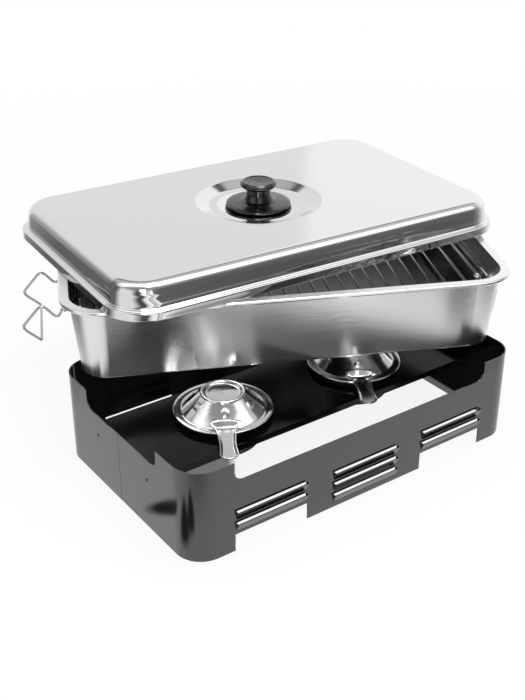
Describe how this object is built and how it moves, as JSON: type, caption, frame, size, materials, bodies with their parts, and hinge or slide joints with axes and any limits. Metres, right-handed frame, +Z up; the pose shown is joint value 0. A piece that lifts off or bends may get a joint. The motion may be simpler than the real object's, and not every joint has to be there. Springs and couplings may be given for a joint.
{
  "type": "stovetop smoker box",
  "caption": "Stovetop smoker box: louvred sheet stand with covered burners, drawn pan with wire bails, rack and tray, loose lid with a round knob.",
  "frame": {"origin": "middle of the front wall's bottom edge, on the table", "axes": "+X along the louvred front to the stand's right end, -Y out of the front, +Z up"},
  "size_m": [0.4661, 0.4016, 0.2095],
  "materials": {
    "stand_enamel": "semi-gloss dark grey enamel",
    "deck_enamel": "gloss black enamel",
    "rivet_steel": "painted over",
    "burner_steel": "bright stainless",
    "cup_steel": "satin",
    "mineral_wool": "matted fibre",
    "mesh_steel": "woven wire",
    "pan_steel": "brushed along the walls",
    "bracket_steel": "satin",
    "wire_chrome": "bright plated wire",
    "tray_steel": "satin",
    "lid_steel": "mirror polished",
    "bakelite": "gloss black",
    "screw_steel": "turned"
  },
  "bodies": {
    "stand": {"stand_shell": "stand_enamel", "burner_deck": "deck_enamel", "deck_rivets": "rivet_steel"},
    "burner_left": {"burner_cup_left": "cup_steel", "burner_wool_left": "mineral_wool", "burner_mesh_left": "mesh_steel"},
    "burner_right": {"burner_cup_right": "cup_steel", "burner_wool_right": "mineral_wool", "burner_mesh_right": "mesh_steel"},
    "cover_left": {"burner_cover_left": "burner_steel", "cover_handle_left": "burner_steel", "cover_rivets_left": "cup_steel"},
    "cover_right": {"burner_cover_right": "burner_steel", "cover_handle_right": "burner_steel", "cover_rivets_right": "cup_steel"},
    "pan": {"pan": "pan_steel", "bail_lugs_left": "bracket_steel", "bail_lugs_right": "bracket_steel"},
    "bail_left": {"bail_left": "wire_chrome"},
    "bail_right": {"bail_right": "wire_chrome"},
    "tray": {"drip_tray": "tray_steel"},
    "rack": {"rack_frame": "wire_chrome", "rack_wires": "wire_chrome", "rack_hooks": "wire_chrome"},
    "lid": {"lid_shell": "lid_steel", "knob_washer": "screw_steel", "knob_screw": "screw_steel", "knob_base": "bakelite", "knob_cap": "bakelite"}
  },
  "joints": [
    {"name": "pan_lift", "type": "slide", "parent": "stand", "child": "pan", "axis": [0, 0, 1], "range_m": [0, 0.15]},
    {"name": "lid_lift", "type": "slide", "parent": "pan", "child": "lid", "axis": [0, 0, 1], "range_m": [0, 0.12]},
    {"name": "rack_lift", "type": "slide", "parent": "pan", "child": "rack", "axis": [0, 0, 1], "range_m": [0, 0.008]},
    {"name": "tray_lift", "type": "slide", "parent": "pan", "child": "tray", "axis": [0, 0, 1], "range_m": [0, 0.022]},
    {"name": "bail_left_swing", "type": "hinge", "parent": "pan", "child": "bail_left", "pos_m": [-0.13564, 0.29199, 0.122], "axis": [0.4289, 0.9033, 0], "range_deg": [-48, 68]},
    {"name": "bail_right_swing", "type": "hinge", "parent": "pan", "child": "bail_right", "pos_m": [0.22864, 0.11901, 0.122], "axis": [-0.4289, -0.9033, 0], "range_deg": [0, 116]},
    {"name": "burner_left_lift", "type": "slide", "parent": "stand", "child": "burner_left", "axis": [0, 0, 1], "range_m": [0, 0.003]},
    {"name": "burner_right_lift", "type": "slide", "parent": "stand", "child": "burner_right", "axis": [0, 0, 1], "range_m": [0, 0.003]},
    {"name": "cover_left_lift", "type": "slide", "parent": "burner_left", "child": "cover_left", "axis": [0, 0, 1], "range_m": [0, 0.004]},
    {"name": "cover_right_lift", "type": "slide", "parent": "burner_right", "child": "cover_right", "axis": [0, 0, 1], "range_m": [0, 0.004]}
  ]
}
